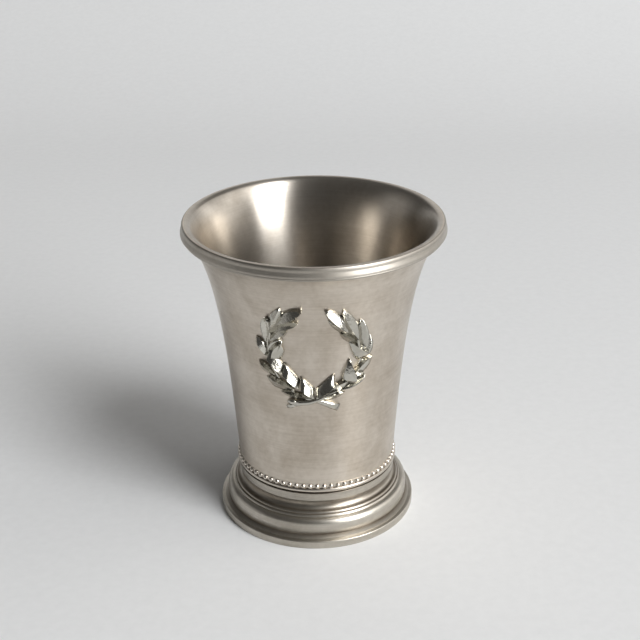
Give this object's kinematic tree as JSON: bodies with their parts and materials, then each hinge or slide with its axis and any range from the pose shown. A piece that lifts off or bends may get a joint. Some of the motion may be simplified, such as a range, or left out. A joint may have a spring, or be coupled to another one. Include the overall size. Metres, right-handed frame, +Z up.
{
  "type": "pewter measure",
  "caption": "Bell-mouthed pewter spirit measure on a spreading moulded foot, with a beaded wire round its base, a banded rim and a laurel wreath applied to its front.",
  "frame": {"origin": "centre of the face that the foot rests on", "axes": "+Z up along the cup's axis, -Y to the front, where the wreath is, +X to the right of someone who looks at the wreath"},
  "size_m": [0.0594, 0.0594, 0.0724],
  "materials": {
    "brushed_pewter": "finely brushed round the axis, soft satin",
    "band_pewter": "brushed along the strip, half bright",
    "bead_pewter": "polished on the beads, dark between them",
    "turned_pewter": "turned and polished, with fine tool lines",
    "cast_pewter": "cast, bright on the ridges and dark in the recesses"
  },
  "bodies": {
    "root": {"body_shell": "brushed_pewter", "bottom_disc": "brushed_pewter", "rim_band": "band_pewter", "rim_wire": "band_pewter", "beaded_wire": "bead_pewter", "foot_moulding": "turned_pewter", "foot_flange": "turned_pewter", "wreath_left_spray": "cast_pewter", "wreath_right_spray": "cast_pewter"}
  },
  "joints": []
}
